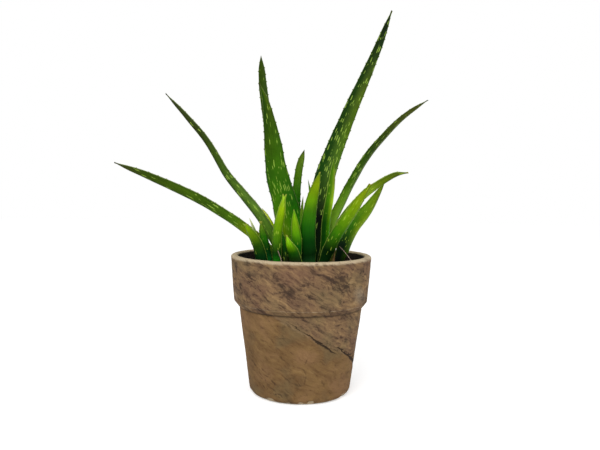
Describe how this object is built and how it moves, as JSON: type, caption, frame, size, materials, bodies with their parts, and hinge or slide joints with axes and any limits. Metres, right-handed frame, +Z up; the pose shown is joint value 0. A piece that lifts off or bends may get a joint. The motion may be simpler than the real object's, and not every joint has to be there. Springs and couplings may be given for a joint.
{
  "type": "potted aloe plant",
  "caption": "Spotted aloe rosette with offsets and long pointed leaves, rooted in dark soil in a round marbled clay pot with a plain collar.",
  "frame": {"origin": "centre of the pot's foot, on the surface it stands on", "axes": "+Z up, +X to the right, -Y towards the front, where most of the offsets grow"},
  "size_m": [0.313, 0.17, 0.397],
  "materials": {
    "marbled_clay": "unglazed, marbled brown, matte",
    "potting_soil": "dark crumbly peat, matte",
    "stem": "dull green-brown skin",
    "mature_leaf": "waxy dark green with pale elongated spots",
    "young_leaf": "waxy yellow-green, darker at the foot",
    "dried_leaf": "withered brown, papery",
    "straw": "dry, pale"
  },
  "bodies": {
    "root": {"pot": "marbled_clay", "main_stem": "stem", "left_pup_stem": "stem", "centre_pup_stem": "stem", "front_pup_stem": "stem", "right_pup_stem": "stem", "soil": "potting_soil", "leaf_far_left": "mature_leaf", "leaf_upper_left": "mature_leaf", "leaf_tall_left": "mature_leaf", "leaf_tall_back": "mature_leaf", "leaf_tallest_right": "mature_leaf", "leaf_arching_right": "mature_leaf", "leaf_young_back": "mature_leaf", "leaf_heart": "mature_leaf", "leaf_heart_back": "mature_leaf", "leaf_hidden_left": "mature_leaf", "leaf_hidden_back": "mature_leaf", "left_pup_front": "young_leaf", "left_pup_left": "young_leaf", "left_pup_right": "young_leaf", "left_pup_back": "young_leaf", "leaf_olive": "young_leaf", "centre_pup_bright": "young_leaf", "centre_pup_dark": "young_leaf", "front_pup_stubby": "young_leaf", "front_pup_pointed": "young_leaf", "front_pup_smooth": "young_leaf", "right_pup_upright": "young_leaf", "right_pup_arching": "young_leaf", "right_pup_blunt": "young_leaf", "right_pup_broad": "young_leaf", "dried_leaf": "dried_leaf", "dry_straw_right": "straw", "dry_straw_left": "straw"}
  },
  "joints": []
}
